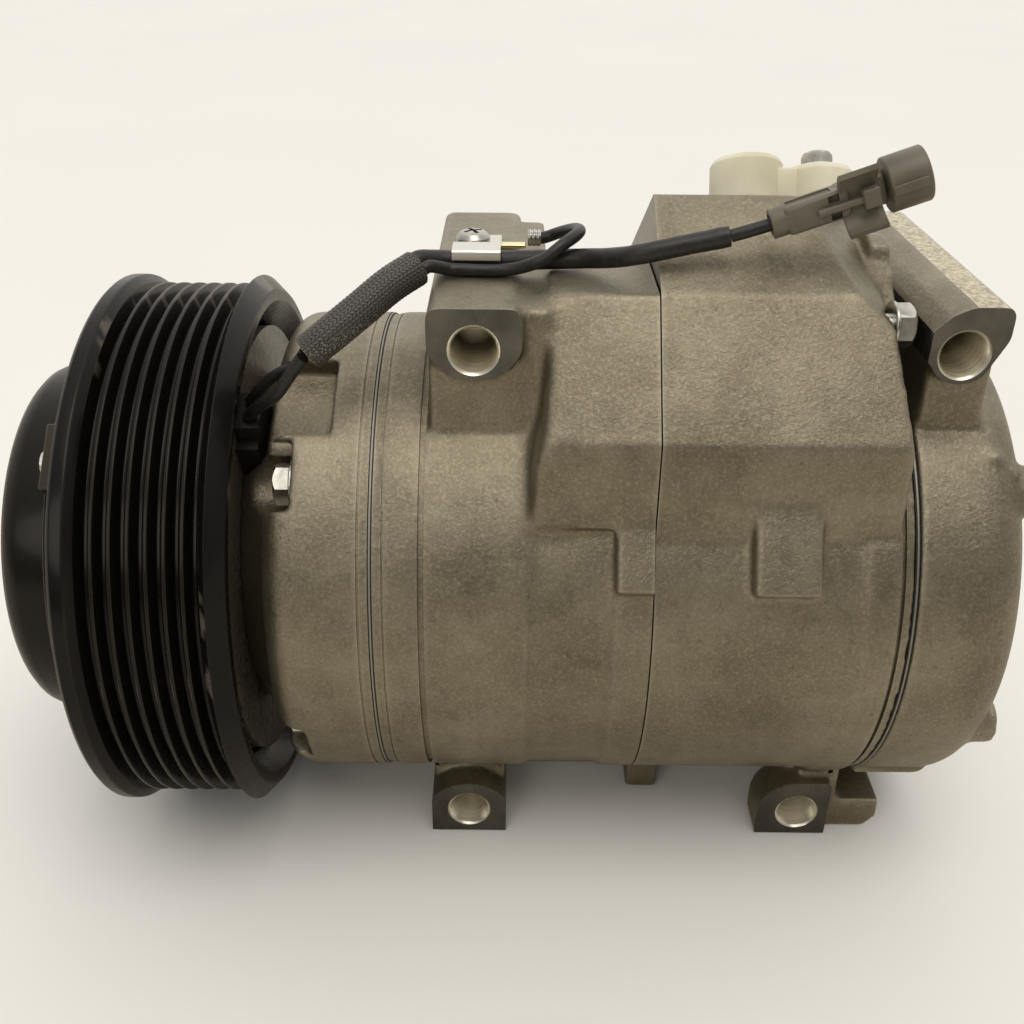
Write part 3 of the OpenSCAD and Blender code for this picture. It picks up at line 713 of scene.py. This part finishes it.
far_side, near_side = (1, FACE_Y, 1, 0), (1, -FACE_Y, -1, 0)
foot = (2, FOOT_Z, -1, 0)
CASTINGS = (
    ("front_housing", [(0, FRONT_END, 1, 0)], [], [(41.6, 42.1, BODY_R - 0.3)], []),
    ("front_cylinder_block",
     [(0, BLOCK_START, -1, 0), (0, SEAM, 1, 0.3), foot, far_side, near_side],
     [UPPER_FRONT, LOWER_FRONT],
     [(46.6, 46.95, BODY_R - 0.5), (53.9, 55.1, BODY_R - 1.0)],
     [((73.5, -60, 22), (86, -24, 80))]),
    ("rear_cylinder_block", [(0, BLOCK_END, 1, 0), (0, SEAM, -1, 0), foot, near_side],
     [LOWER_REAR], [(150.5, 151.3, BODY_R - 0.9)], []),
    ("rear_housing", [(0, REAR_START, -1, 0), far_side, near_side], [UPPER_REAR], [], []))
for node, *shape in CASTINGS:
    put(casting(node, *shape), "casing", node)


# ---------------------------------------------------------------- turned and moulded pieces

def place(obj, origin, axis=(1, 0, 0), near=(0, -1, 0)):
    """Moves a piece made about X to origin, with its X along axis and its -Y towards near."""
    x = Vector(axis).normalized()
    y = -(Vector(near) - x * Vector(near).dot(x)).normalized()
    z = x.cross(y)
    turn = Matrix(((x[0], y[0], z[0], origin[0] * MM), (x[1], y[1], z[1], origin[1] * MM),
                   (x[2], y[2], z[2], origin[2] * MM), (0, 0, 0, 1)))
    obj.data.transform(turn)
    return obj


def fuse(name, parts, cuts=(), angle=35):
    """One closed skin from overlapping parts, less the cuts."""
    base = parts[0]
    boolean(base, "UNION", parts[1:])
    boolean(base, "DIFFERENCE", cuts)
    apply_all(base)
    discard([*parts[1:], *cuts])
    base.name = base.data.name = name
    shade(base, angle)
    return base


def lathe(name, profile, radii, mat, origin=(0, 0, 0), axis=(1, 0, 0), segs=64):
    """A turned piece: an outline of (station, radius) with rounded corners, about an axis."""
    return place(revolve(name, rounded(profile, radii), mat, segs), origin, axis)


def hex_head(name, across, height, mat, origin, axis, washer, shank, turn, reach):
    """A hexagon head with turned chamfers, a washer face under it and its shank behind it.

    washer and reach are the radii of the washer face and the shank, shank is its length.
    """
    r = across / math.sqrt(3)
    head = revolve("head", [(0, 0), (0, r), (height, r), (height, 0)], mat, 6, turn)
    cone = [(-1, 0), (-1, r + 0.2), (height - 0.9, r + 0.2), (height + 0.02, across / 2 - 0.1),
            (height + 0.02, 0)]
    cone = lathe("cone", cone, 0, mat, origin, axis)
    place(head, origin, axis)
    boolean(head, "INTERSECT", [cone])
    apply_all(head)
    discard([cone])
    collar = [(-0.75, 0), (-0.75, washer), (0.05, washer), (0.05, 0)]
    rod = [(-shank, 0), (-shank, reach), (0.02, reach), (0.02, 0)]
    parts = [head, lathe("washer", collar, [0, 0.25, 0.25, 0], mat, origin, axis),
             lathe("shank", rod, 0, mat, origin, axis)]
    return fuse(name, parts, angle=28)


def pulley():
    """The poly-V rim with its rounded ribs, the friction disc with its slots, the bearing tube."""
    front, back, crest, flange = -17.0, 17.0, 61.3, 63.2
    pitch, grooves, deep = 3.56, 7, 2.9
    half_top, half_root, flange_edge = 1.45, 0.42, 13.6
    outline = [(front, 62.4), (front + 0.9, flange), (-flange_edge, flange)]
    radii = [0.4, 0.5, 0.7]
    for k in range(grooves):
        at = (k - (grooves - 1) / 2) * pitch
        outline += [(at - half_top, crest), (at - half_root, crest - deep),
                    (at + half_root, crest - deep), (at + half_top, crest)]
        radii += [0.28, 0.3, 0.3, 0.28]
    outline += [(flange_edge, flange), (back - 3.3, flange), (back, flange - 3.4), (back, 57.4),
                (10.8, 52.8), (-12.4, 52.8), (-12.4, 33.15), (9, 33.15), (9, 27.6), (front, 27.6)]
    radii += [0.7, 1.4, 1.2, 0.5, 1.0, 1.2, 1.2, 0.4, 0.3, 0.3]
    body = revolve("pulley_body", rounded(outline, radii, 4), GLOSS, 220, 0, 40)
    cuts = []
    for i in range(6):
        for k in range(3):
            slot = slab("slot", (front - 1, -1.6, 42), (-11, 1.6, 44.4), GLOSS, 0)
            slot.data.transform(Matrix.Rotation(math.radians(60 * i + 14 * k), 4, "X"))
            cuts.append(slot)
    return fuse("pulley_body", [body], cuts, 40)


def armature():
    """The armature disc with the three ears that carry its rivets."""
    front = lo("armature_plate")[0]
    back, hole, rim = front + 4.0, 33.2, 53.2
    ring = [(front, hole), (front, rim), (back, rim), (back, hole)]
    parts = [lathe("disc", ring, 0.5, GLOSS, segs=160)]
    for i in range(3):
        ear = slab("ear", (front + 0.01, -7, 40), (back - 0.01, 7, 55.9), GLOSS, 0.45)
        ear.data.transform(Matrix.Rotation(math.radians(120 * i + 43), 4, "X"))
        parts.append(ear)
    return fuse("armature_disc", parts)


def hub_cup():
    """The pressed cover over the hub."""
    front, back, r = lo("hub_cover")[0], hi("hub_cover")[0], hi("hub_cover")[1]
    outline = [(front, 0), (front, r - 0.02), (back, r - 0.02), (back, r - 2),
               (front + 3.2, r - 2.2), (front + 3.2, 0)]
    return lathe("hub_cup", outline, [0, 4.6, 0.5, 0.4, 2.0, 0], GLOSS, segs=180)


put(pulley(), "pulley", "pulley")
put(armature(), "armature", "armature_plate")
put(hub_cup(), "rotor", "hub_cover")


# ---------------------------------------------------------------- fasteners

BOLTS, BOLT_CIRCLE, FIRST_BOLT = 5, 47, 44
BOLT_SEAT = 27.25

for i in range(BOLTS):
    angle = math.radians(FIRST_BOLT + 360 / BOLTS * i)
    seat = (BOLT_SEAT, -BOLT_CIRCLE * math.cos(angle), BOLT_CIRCLE * math.sin(angle))
    bolt = hex_head("through_bolt_%d" % (i + 1), 8.0, 3.5, ZINC, seat, (-1, 0, 0), 5.4, 148,
                    0.25 + 0.4 * i, 2.75)
    put(bolt, "casing", *(["through_bolts"] if i == 0 else []))


def rear_hex(name, node, across, mat, *rest):
    """A hexagon head that ends where its CAD node ends, facing the rear."""
    _, y, z = [(a + b) / 2 for a, b in zip(lo(node), hi(node))]
    seat = (hi(node)[0] - 3.55, y, z)
    put(hex_head(name, across, 3.5, mat, seat, (1, 0, 0), *rest), "casing", node)


rear_hex("muffler_hex", "muffler_bolt", 7.9, ZINC, 4.85, 9, 0.35, 2.4)
rear_hex("relief_hex", "relief_valve", 10.3, BRASS, 5.7, 7, 0.1, 3.8)


# ---------------------------------------------------------------- port cap

# The port face slopes to the far side from the tower's ridge
PORT_UP = Vector((0, 0.5, 0.8660254))
PORT_DOWN = Vector((0, 0.8660254, -0.5))
RIDGE = Vector((0, -5, 86))
# The two ports and the cap's bolt, in X and the distance down the slope
PORT_A, PORT_B, CAP_BOLT = (123.2, 14), (123.2, 31), (138.6, 14)


def on_ports(x, down, up=0.0):
    """A point on the port face, or above it."""
    return Vector((x, 0, 0)) + RIDGE + PORT_DOWN * down + PORT_UP * up


def lobe(at, r, height):
    """A round moulded cap with a raised rim and a dished top."""
    dish = height - 0.9
    outline = [(0, 0), (0, r), (height - 1.2, r - 0.15), (height, r - 0.9), (height, r - 2.2),
               (dish, r - 3.0), (dish, 0)]
    return lathe("lobe", outline, [0, 0.4, 0.5, 0.5, 0.5, 0.5, 0], NYLON,
                 on_ports(*at, 0.06), PORT_UP)


def web(start, end, height):
    """A moulded web between two lobes."""
    a, b = on_ports(*start), on_ports(*end)
    middle, half = (a + b) / 2, (b - a).length / 2
    bar = slab("web", (0, -5.5, -half), (height, 5.5, half), NYLON, 0.5)
    return place(bar, middle + PORT_UP * 0.07, PORT_UP, PORT_UP.cross(b - a))


cap_hole = lathe("hole", [(-1, 0), (-1, 3.15), (13, 3.15), (13, 0)], 0, NYLON,
                 on_ports(*CAP_BOLT), PORT_UP)
cap_parts = [lobe(PORT_A, 8, 11), lobe(PORT_B, 7.4, 8), lobe(CAP_BOLT, 8, 9),
             web(PORT_A, PORT_B, 6.6), web(PORT_A, CAP_BOLT, 8.3)]
put(fuse("port_cap_moulding", cap_parts, [cap_hole]), "casing", "port_cap")
put(hex_head("port_cap_hex", 5.8, 2.9, ZINC, on_ports(*CAP_BOLT, 10.05), PORT_UP, 4.2, 19, 0.15,
             2.8), "casing", "port_cap_bolt")


# ---------------------------------------------------------------- harness

def lead_point(x, k, spread, r):
    """A point of lead k, which is -1 or 1, beside the coil terminal's angle."""
    angle = math.radians(62 + spread * k)
    return (x, -r * math.cos(angle), r * math.sin(angle))


def jacket_marks(t, a):
    """Slight unevenness of a moulded cable jacket."""
    return 0.06 * noise.noise(Vector((t * 22, math.cos(a) * 1.3, math.sin(a) * 1.3)))


def braid(t, a):
    """Strands laid over and under each other round a sleeve."""
    starts, turns = 16, 31.0
    u = starts * a / (2 * math.pi) + turns * t
    v = starts * a / (2 * math.pi) - turns * t
    over = math.sin(math.pi * (u + v))
    hump = abs(math.sin(math.pi * (u if over > 0 else v))) ** 0.6
    return 0.125 * hump * (1 + 0.55 * abs(over)) - 0.1


# Paths of the cables, with points in X, Y, Z
SLEEVE = [(32, -30, 60.2), (36.6, -28.7, 63.6), (42.6, -25, 67.7), (47.8, -20.9, 71.1),
          (52.9, -16.8, 73.4)]
SHEATH = [(52.1, -15.5, 73.6), (53.4, -14.2, 74.3), (57.4, -12, 73.7), (61, -11.5, 73.4),
          (71, -11.5, 73.5), (86.1, -13.6, 74.7), (92, -18, 76.2), (97.4, -22, 78.2),
          (108.9, -22, 80.7), (114.6, -22, 81.9)]
GROUND = [(54.5, -18.3, 73.6), (55.7, -17.4, 74), (58.5, -15.8, 73.1), (61, -15.2, 72.7),
          (71, -15.2, 72.7), (78, -16.8, 75.1), (82.6, -15, 78), (86, -9, 78.8), (85.6, 0, 77),
          (82.4, 5.6, 74.6), (79, 6.6, 73.2), (75.7, 6.6, 73.2)]
CRIMP = [(75.7, 6.6, 73.2), (77, 6.6, 73.2), (78.5, 6.6, 73.2)]
PLUG_LEAD = [(114.9, -22, 82), (118.6, -22, 83.1), (122, -22, 84.2), (124.6, -22, 85.13)]
WIRE_R = 1.3
MOUTH, TILT = Vector((122.3, -22, 84.3)), math.radians(20)
PLUG_AXIS = Vector((math.cos(TILT), 0, math.sin(TILT)))

leads = []
for k in (-1, 1):
    path = [lead_point(17.6, k, 2.2, 51.2), lead_point(21.2, k, 2.6, 56),
            lead_point(25, k, 2.6, 59.6), (28.6, -29.4 + 1.5 * k, 56.2),
            (31.2, -29.9 + 1.5 * k, 59.6)]
    leads.append(tube("lead", path, WIRE_R, JACKET, 40))
leads.append(tube("lead", PLUG_LEAD, WIRE_R, JACKET, 30))
put(join("lead_wires", leads), "casing", "coil_leads")
put(tube("sleeve_braid", SLEEVE, 3.6, BRAID, 520, 192, braid), "casing", "braided_sleeve")


def sheath_end_roll(t):
    """The sheath tapers into a short sleeve at the connector end."""
    return 2.02 + 0.1 * math.exp(-((t - 0.97) / 0.015) ** 2)


put(tube("sheath_jacket", SHEATH, sheath_end_roll, JACKET, 160, 24, jacket_marks),
    "casing", "cable_sheath")
put(tube("ground_loop", GROUND, WIRE_R, JACKET, 140, 18, jacket_marks), "casing", "ground_wire")


def crimp_shape(t, a):
    """Two rolled wings pressed into the wire, with a seam along the top."""
    seam = -0.28 * math.exp(-((math.cos(a - 1.3) - 1) / 0.03) ** 2)
    return seam + 0.12 * math.sin(t * math.pi * 3) ** 2


put(tube("crimp_barrel", CRIMP, 1.72, HARD, 30, 48, crimp_shape), "casing", "crimp_sleeve")

SCREW = (63.7, 4.1)
TONGUE_Z = lo("ring_terminal")[2] + 0.03
eye = lathe("eye", [(0, 2.1), (0, 3.6), (0.85, 3.6), (0.85, 2.1)], 0.2, BRASS,
            (*SCREW, TONGUE_Z), (0, 0, 1))
tongue = slab("tongue", (66.4, SCREW[1] + 0.3, TONGUE_Z), (75.2, SCREW[1] + 3.0, TONGUE_Z + 0.85),
              BRASS, 0.25)
put(fuse("ring_tongue", [eye, tongue]), "casing", "ring_terminal")


def extruded(name, outline, x0, x1, mat):
    """An outline in Y and Z, extruded along X."""
    count = len(outline)
    verts = [(x, y, z) for x in (x0, x1) for y, z in outline]
    faces = [tuple(range(count)), tuple(range(2 * count - 1, count - 1, -1))]
    faces += [(k, count + k, count + (k + 1) % count, (k + 1) % count) for k in range(count)]
    obj = new_object(name, verts, faces, mat)
    edit(obj.data, face_out)
    return obj


def clip():
    """A bent strip with a turned lip that wraps the sheath and the ground wire."""
    top = [(9, 73.1), (0.2, 73.1), (-8.3, 76.45), (-14.5, 76.45), (-14.55, 74.2)]
    bottom = [(-13.85, 74.2), (-13.85, 75.75), (-8.5, 75.75), (-0.1, 72.35), (9, 72.35)]
    outline = rounded(top + bottom, [0.2, 3, 3, 0.9, 0.2, 0.2, 0.4, 3, 3, 0.2], 5)
    strip = extruded("strip", outline, 60.0, 69.9, ZINC)
    hole = lathe("hole", [(-3, 0), (-3, 2.1), (3, 2.1), (3, 0)], 0, ZINC, (*SCREW, 72.7),
                 (0, 0, 1))
    return fuse("clip_strip", [strip], [hole])


def screw():
    """A pan-head screw with a cross recess."""
    outline = [(-5, 0), (-5, 1.85), (0, 1.85), (0, 3.75), (0.9, 3.75), (2.1, 2.7), (2.4, 0)]
    head = lathe("head", outline, [0, 0, 0, 0.2, 0.5, 1.2, 0], ZINC, (*SCREW, 73.16), (0, 0, 1))
    x, y = SCREW
    away = Matrix.Translation(Vector((x, y, 0)) * MM)
    cuts = []
    for a, b in ((2.1, 0.45), (0.45, 2.1)):
        slot = slab("slot", (x - a, y - b, 74.2), (x + a, y + b, 77), ZINC, 0)
        slot.data.transform(away @ Matrix.Rotation(0.5, 4, "Z") @ away.inverted())
        cuts.append(slot)
    return fuse("pan_screw", [head], cuts)


put(clip(), "casing", "harness_clip")
put(screw(), "casing", "clip_screw")


def plug_slab(low, high, bevel):
    """A block of the connector; its X runs from the cable to the mating end."""
    return place(slab("block", low, high, GREY, bevel), MOUTH, PLUG_AXIS)


def plug_lathe(profile, radii):
    return lathe("barrel", profile, radii, GREY, MOUTH, PLUG_AXIS)


def saddle():
    """The trough-shaped guard round the latch, open towards the near side."""
    steps, spread, centre = 20, 66, -8.0

    def arc(deep, wide, way):
        turns = [way * math.radians(2 * spread * k / steps - spread) for k in range(steps + 1)]
        return [(centre + deep * math.cos(a), wide * math.sin(a)) for a in turns]

    outline = arc(7.2, 6.901, 1) + arc(6.1, 5.871, -1)
    return place(extruded("guard", outline, 13.1, 20.5, GREY), MOUTH, PLUG_AXIS)


body_parts = [
    plug_lathe([(-0.1, 0), (-0.1, 2.95), (4.4, 2.95), (4.4, 0)], [0, 0.35, 0.2, 0]),
    plug_slab((2.6, -2.85, -2.85), (15, 2.85, 2.85), 0.95),
    plug_slab((13, -2.0, -2.95), (21.9, 2.95, 2.95), 0.6),
    saddle(),
    plug_slab((8.5, -4.3, -0.7), (18.5, -2.9, 0.7), 0.5),
    plug_slab((8.5, -4.2, -0.7), (10.2, -1.5, 0.7), 0.3),
    plug_slab((16.9, -5.0, -1.9), (20.2, -2.2, 1.9), 0.45),
]
body_cuts = [
    plug_slab((10.9, -3.3, 0.9), (13.0, -1.2, 2.4), 0.1),
    plug_slab((10.9, -3.3, -2.4), (13.0, -1.2, -0.9), 0.1),
    plug_slab((3.4, -1.3, 2.5), (12, 1.3, 3.3), 0.1),
    plug_lathe([(-1, 0), (-1, 2.1), (3.0, 1.9), (3.0, 0)], 0),
]
put(fuse("connector_moulding", body_parts, body_cuts), "casing", "connector_body")
cap = plug_lathe([(22.15, 0), (22.15, 5.35), (29.9, 5.35), (29.9, 4.3), (27.8, 4.0), (27.8, 0)],
                 [0, 0.4, 0.7, 0.4, 0.3, 0])
rib = plug_slab((22.3, -5.75, -1.0), (29.0, -4.6, 1.0), 0.25)
put(fuse("connector_shroud", [cap, rib]), "casing", "connector_cap")


# ---------------------------------------------------------------- camera, light and floor

def look():
    """The camera at the photograph's place and angle."""
    focal, width, sensor = 1115.2, 1024, 36
    data = bpy.data.cameras.new("camera")
    cam = linked("camera", data)
    bpy.context.scene.camera = cam
    data.sensor_width = sensor
    data.lens = sensor * focal / width
    data.clip_start, data.clip_end = 0.02, 20
    ahead = Vector((0.0, 0.869, -0.4948)).normalized()
    right = Vector((1.0, 0.0045, 0.0078)).normalized()
    right = (right - ahead * right.dot(ahead)).normalized()
    up = right.cross(ahead)
    turn = Matrix((right, up, -ahead)).transposed().to_4x4()
    cam.matrix_world = Matrix.Translation(Vector((72.72, -237.28, 142.32)) * MM) @ turn


def lamp(name, kind, colour, energy, towards):
    """A light that shines along the vector towards."""
    data = bpy.data.lights.new(name, kind)
    data.color, data.energy = colour, energy
    obj = linked(name, data)
    obj.rotation_mode = "QUATERNION"
    obj.rotation_quaternion = Vector(towards).to_track_quat("-Z", "Y")
    return obj


def pale_floor():
    """A floor that is paler to the camera than to the object."""
    z = FOOT_Z * MM - 0.0003
    mesh = bpy.data.meshes.new("floor")
    mesh.from_pydata([(-6, -6, z), (6, -6, z), (6, 6, z), (-6, 6, z)], [], [(0, 1, 2, 3)])
    floor = linked("floor", mesh)
    n = Nodes("pale_floor")
    pale = n.mix(n.grey(n.noise(0.004, 2), 0, 1), (0.86, 0.86, 0.86), (0.90, 0.90, 0.89))
    seen = n.add("ShaderNodeLightPath").outputs["Is Camera Ray"]
    n.set("Base Color", n.mix(seen, (0.66, 0.62, 0.55), pale))
    n.set("Roughness", 0.85)
    floor.data.materials.append(n.mat)


def studio():
    """A world that lights from above and behind, and is evenly pale to the camera."""
    world = bpy.data.worlds.new("studio")
    bpy.context.scene.world = world
    world.use_nodes = True
    tree = world.node_tree
    way = tree.nodes.new("ShaderNodeTexCoord")
    turn = tree.nodes.new("ShaderNodeVectorMath")
    turn.operation = "DOT_PRODUCT"
    turn.inputs[1].default_value = (0.05, 0.75, 0.65)
    tree.links.new(way.outputs["Generated"], turn.inputs[0])
    spread = tree.nodes.new("ShaderNodeMapRange")
    for key, value in zip(("From Min", "From Max", "To Min", "To Max"), (-0.5, 1.0, 0.05, 1.1)):
        spread.inputs[key].default_value = value
    tree.links.new(turn.outputs["Value"], spread.inputs["Value"])
    back = tree.nodes["Background"]
    back.inputs["Color"].default_value = (1.0, 0.965, 0.90, 1)
    path = tree.nodes.new("ShaderNodeLightPath")
    shown = tree.nodes.new("ShaderNodeMix")
    shown.inputs[3].default_value = 0.9
    tree.links.new(path.outputs["Is Camera Ray"], shown.inputs[0])
    tree.links.new(spread.outputs["Result"], shown.inputs[2])
    tree.links.new(shown.outputs[0], back.inputs["Strength"])


look()
pale_floor()
studio()
key = lamp("key", "SUN", (1.0, 0.94, 0.84), 1.05, (-0.10, 0.36, -1.0))
key.data.angle = math.radians(42)
fill_at = Vector((-0.3, -0.85, 0.5))
fill = lamp("fill", "AREA", (1.0, 0.95, 0.86), 1.35, Vector((0.07, 0, 0)) - fill_at)
fill.location = fill_at
fill.data.shape, fill.data.size = "DISK", 0.5
bpy.context.scene.view_settings.view_transform = "Standard"
